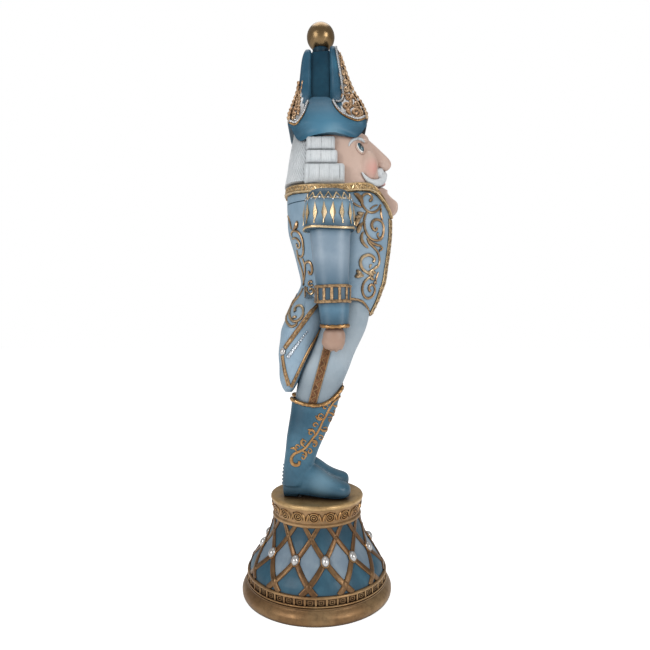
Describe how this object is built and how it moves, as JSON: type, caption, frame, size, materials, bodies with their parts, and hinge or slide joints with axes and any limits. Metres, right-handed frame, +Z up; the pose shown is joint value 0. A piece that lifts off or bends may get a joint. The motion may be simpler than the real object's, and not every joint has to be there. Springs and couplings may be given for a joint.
{
  "type": "nutcracker figure",
  "caption": "Tall display nutcracker in a braided hat and tailcoat, standing on a bell-shaped pedestal, with a jaw worked by a lever in its back.",
  "frame": {"origin": "centre of the pedestal's underside", "axes": "+Z up through the pedestal's centre, +X the way the face looks, +Y the figure's own left"},
  "size_m": [0.4165, 0.396, 1.5159],
  "materials": {
    "gold": "antique gold paint with a brown wash, satin",
    "deep_blue": "painted resin, satin",
    "sky_blue": "painted resin, airbrushed, satin",
    "trouser": "painted resin, satin",
    "skin": "painted resin, satin",
    "hair": "painted resin, matte",
    "pearl": "pearl lacquer, glossy",
    "steel": "plain steel",
    "board": "dark fibreboard"
  },
  "bodies": {
    "figure": {"back_hair": "hair", "base_bell": "deep_blue", "base_bottom_plate": "board", "base_dentil_band": "gold", "base_foot_ring": "gold", "base_lattice": "gold", "base_pearl_01": "pearl", "base_pearl_02": "pearl", "base_pearl_03": "pearl", "base_pearl_04": "pearl", "base_pearl_05": "pearl", "base_pearl_06": "pearl", "base_pearl_07": "pearl", "base_pearl_08": "pearl", "base_pearl_09": "pearl", "base_pearl_10": "pearl", "base_pearl_11": "pearl", "base_pearl_12": "pearl", "base_top_band": "gold", "base_top_plate": "gold", "boot_bolt_left": "steel", "boot_bolt_right": "steel", "boot_left": "deep_blue", "boot_right": "deep_blue", "boot_trim_left": "gold", "boot_trim_right": "gold", "coat_body": "sky_blue", "coat_tail_left": "sky_blue", "coat_tail_right": "sky_blue", "collar": "gold", "cuff_band_left": "gold", "cuff_band_right": "gold", "cuff_left": "deep_blue", "cuff_right": "deep_blue", "epaulette_left": "deep_blue", "epaulette_right": "deep_blue", "finial_ball": "gold", "finial_stud": "steel", "hand_left": "skin", "hand_right": "skin", "hat_back_flap": "deep_blue", "hat_brim": "deep_blue", "hat_crown": "deep_blue", "hat_front_flap": "deep_blue", "head": "skin", "jaw_pin": "steel", "leg_left": "trouser", "leg_right": "trouser", "leg_stripe_left": "gold", "leg_stripe_right": "gold", "moustache": "hair", "placket_left": "gold", "placket_right": "gold", "side_curls_left": "hair", "side_curls_right": "hair", "sleeve_left": "sky_blue", "sleeve_right": "sky_blue", "waistcoat": "trouser"},
    "jaw": {"jaw": "skin", "lever": "sky_blue"}
  },
  "joints": [
    {"name": "jaw_hinge", "type": "hinge", "parent": "figure", "child": "jaw", "pos_m": [-0.028, 0, 1.1], "axis": [0, 1, 0], "range_deg": [0, 8]}
  ]
}
